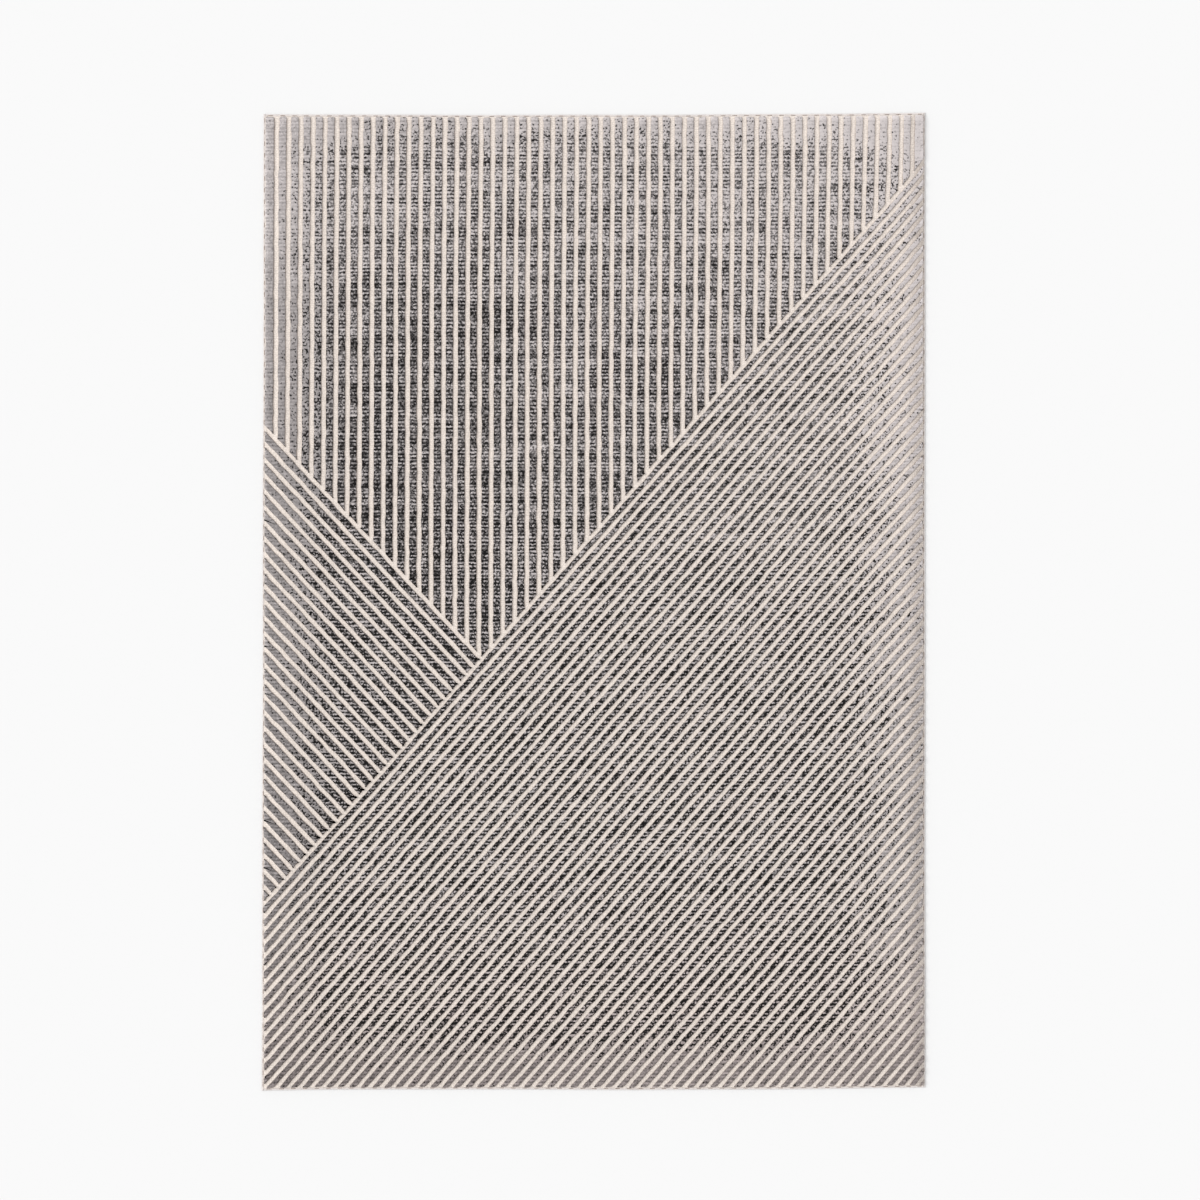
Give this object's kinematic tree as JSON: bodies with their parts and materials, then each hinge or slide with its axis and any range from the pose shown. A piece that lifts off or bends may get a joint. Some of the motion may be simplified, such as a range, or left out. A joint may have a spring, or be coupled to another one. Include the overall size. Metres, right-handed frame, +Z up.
{
  "type": "area rug",
  "caption": "Rectangular machine-woven area rug with raised grey pile ribs in three directions over a low cream pile, serged on the long sides and bound on the ends.",
  "frame": {"origin": "middle of the underside, on the floor", "axes": "+X across the width, +Y along the length towards the end with the upright ribs, +Z up through the pile"},
  "size_m": [1.6, 2.355, 0.011],
  "materials": {
    "back_coat": "matt latex back coat over jute",
    "jute_weft": "coarse jute yarn",
    "ground_warp": "natural cotton and polyester warp",
    "grey_pile": "heathered grey and charcoal cut pile",
    "cream_pile": "soft warm cream low pile",
    "edge_yarn": "pinkish beige overlock yarn",
    "edge_cord": "plain twisted cord",
    "stitch_thread": "brown sewing thread",
    "label_cloth": "blank white woven label"
  },
  "bodies": {
    "root": {"back_coat": "back_coat", "weft_layer": "jute_weft", "warp_layer": "ground_warp", "wedge_pile": "grey_pile", "triangle_pile": "grey_pile", "field_pile": "grey_pile", "cream_pile": "cream_pile", "left_serging": "edge_yarn", "right_serging": "edge_yarn", "top_binding": "edge_yarn", "bottom_binding": "edge_yarn", "left_selvedge_cord": "edge_cord", "right_selvedge_cord": "edge_cord", "top_heading": "edge_cord", "bottom_heading": "edge_cord", "left_stitching": "stitch_thread", "right_stitching": "stitch_thread", "top_stitching": "stitch_thread", "bottom_stitching": "stitch_thread", "care_label": "label_cloth"}
  },
  "joints": []
}
